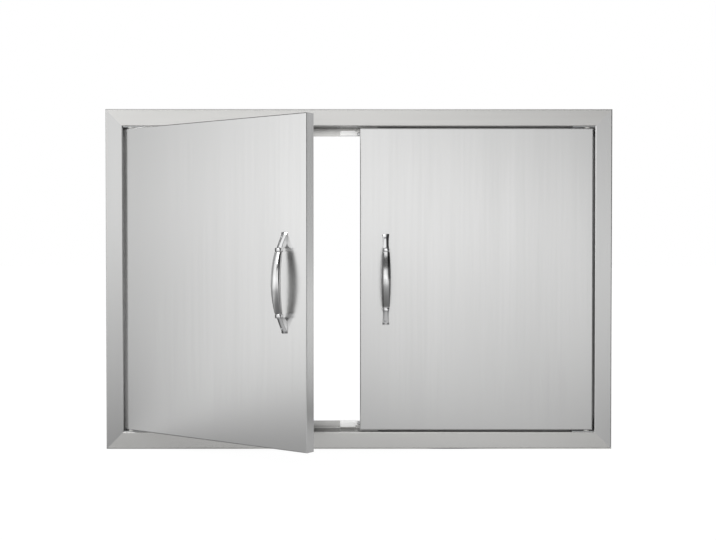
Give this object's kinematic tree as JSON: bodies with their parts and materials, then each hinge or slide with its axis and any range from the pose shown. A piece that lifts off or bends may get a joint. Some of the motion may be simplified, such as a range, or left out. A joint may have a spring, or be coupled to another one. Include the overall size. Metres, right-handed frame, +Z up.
{
  "type": "bbq island access door",
  "caption": "Flush face frame with two inset pan doors on pivot pins, bow handles, magnetic catches on a stop lip and screw holes in its side jambs, to close a storage opening.",
  "frame": {"origin": "middle of the bottom jamb's outer face, where it sits over the sill of the cut-out, in the plane of the island's front face", "axes": "+X along the opening to the viewer's right, +Y into the island, +Z up"},
  "size_m": [0.7874, 0.2519, 0.529],
  "materials": {
    "frame_steel": "satin brushed along each rail",
    "door_steel": "satin brushed up and down",
    "liner_steel": "mill finish",
    "handle_chrome": "polished",
    "handle_satin": "polished satin",
    "catch_plastic": "moulded white",
    "bush_nylon": "natural nylon",
    "magnet_ferrite": "sintered ferrite",
    "plated_steel": "bright zinc plate",
    "pin_steel": "turned",
    "spring_steel": "drawn wire"
  },
  "bodies": {
    "frame": {"frame_top_rail": "frame_steel", "frame_bottom_rail": "frame_steel", "frame_left_stile": "frame_steel", "frame_right_stile": "frame_steel", "hinge_plate_bottom_left": "plated_steel", "pivot_bush_bottom_left": "bush_nylon", "hinge_plate_bottom_right": "plated_steel", "pivot_bush_bottom_right": "bush_nylon", "catch_housing_bottom": "catch_plastic", "catch_magnets_bottom": "magnet_ferrite", "catch_pole_plates_bottom": "plated_steel", "catch_screw_bottom": "pin_steel", "hinge_plate_top_left": "plated_steel", "pivot_bush_top_left": "bush_nylon", "hinge_plate_top_right": "plated_steel", "pivot_bush_top_right": "bush_nylon", "catch_housing_top": "catch_plastic", "catch_magnets_top": "magnet_ferrite", "catch_pole_plates_top": "plated_steel", "catch_screw_top": "pin_steel"},
    "left_door": {"left_door_skin": "door_steel", "left_door_liner": "liner_steel", "left_door_stiffener": "plated_steel", "left_lower_pin_bracket": "plated_steel", "left_upper_pin_bracket": "plated_steel", "left_lower_pin": "pin_steel", "left_pin_spring": "spring_steel", "left_strike_plates": "plated_steel", "left_strike_rivets": "plated_steel", "left_handle_grip": "handle_satin", "left_handle_upper_foot": "handle_chrome", "left_handle_lower_foot": "handle_chrome", "left_handle_screws": "plated_steel", "left_handle_washers": "plated_steel"},
    "left_top_pin": {"left_upper_pin": "pin_steel"},
    "right_door": {"right_door_skin": "door_steel", "right_door_liner": "liner_steel", "right_door_stiffener": "plated_steel", "right_lower_pin_bracket": "plated_steel", "right_upper_pin_bracket": "plated_steel", "right_lower_pin": "pin_steel", "right_pin_spring": "spring_steel", "right_strike_plates": "plated_steel", "right_strike_rivets": "plated_steel", "right_handle_grip": "handle_satin", "right_handle_upper_foot": "handle_chrome", "right_handle_lower_foot": "handle_chrome", "right_handle_screws": "plated_steel", "right_handle_washers": "plated_steel"},
    "right_top_pin": {"right_upper_pin": "pin_steel"}
  },
  "joints": [
    {"name": "left_door_hinge", "type": "hinge", "parent": "frame", "child": "left_door", "pos_m": [-0.3549, 0.001, 0.2387], "axis": [0, 0, -1], "range_deg": [-35.8, 74.2]},
    {"name": "left_top_pin_slide", "type": "slide", "parent": "left_door", "child": "left_top_pin", "axis": [0, 0, -1], "range_m": [0, 0.005], "stiffness_N_per_m": 600, "springref_m": -0.004, "deforming": ["left_pin_spring"]},
    {"name": "right_door_hinge", "type": "hinge", "parent": "frame", "child": "right_door", "pos_m": [0.3549, 0.001, 0.2387], "axis": [0, 0, 1], "range_deg": [0, 110]},
    {"name": "right_top_pin_slide", "type": "slide", "parent": "right_door", "child": "right_top_pin", "axis": [0, 0, -1], "range_m": [0, 0.005], "stiffness_N_per_m": 600, "springref_m": -0.004, "deforming": ["right_pin_spring"]}
  ]
}
